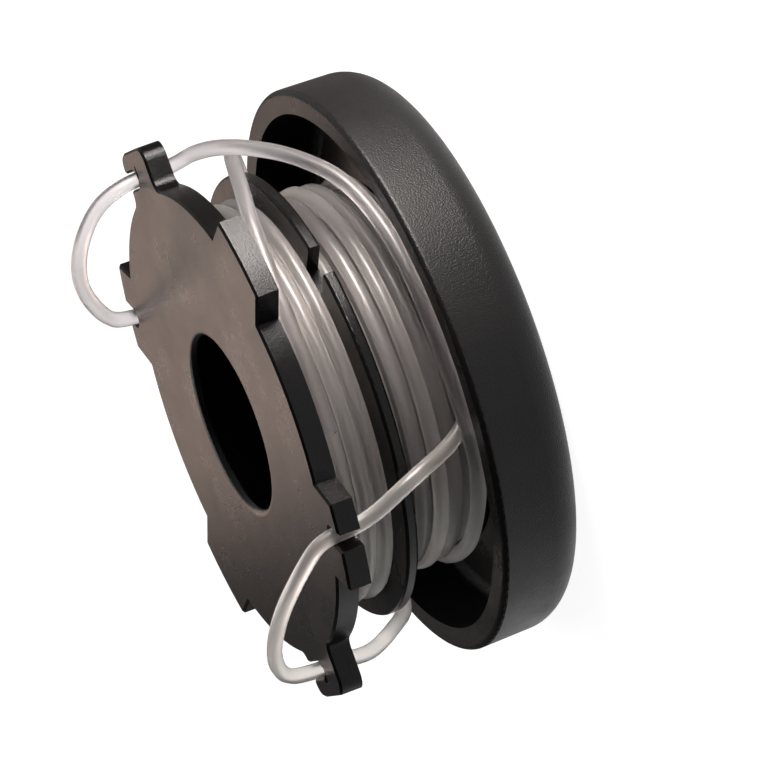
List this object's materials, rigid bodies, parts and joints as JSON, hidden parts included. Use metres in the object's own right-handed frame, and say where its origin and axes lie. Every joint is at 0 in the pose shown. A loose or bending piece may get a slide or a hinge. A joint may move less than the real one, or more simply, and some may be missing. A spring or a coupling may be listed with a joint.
{
  "type": "trimmer line spool",
  "caption": "Two-chamber spool for a string trimmer on a round bump cap, wound with clear nylon line whose ends are parked in slots of the cam-shaped top flange.",
  "frame": {"origin": "centre of the bump cap's flat underside", "axes": "+Z along the spool's axis from the bump cap to the top flange, +Y towards the first ear of the top flange"},
  "size_m": [0.074, 0.074, 0.0407],
  "materials": {
    "black_plastic": "moulded, finely sandblasted",
    "nylon_line": "extruded, translucent"
  },
  "bodies": {
    "root": {"bump_cap": "black_plastic", "spool": "black_plastic", "upper_winding": "nylon_line", "lower_winding": "nylon_line", "lower_line_tail": "nylon_line", "upper_line_tail": "nylon_line", "loose_turn": "nylon_line"}
  },
  "joints": []
}
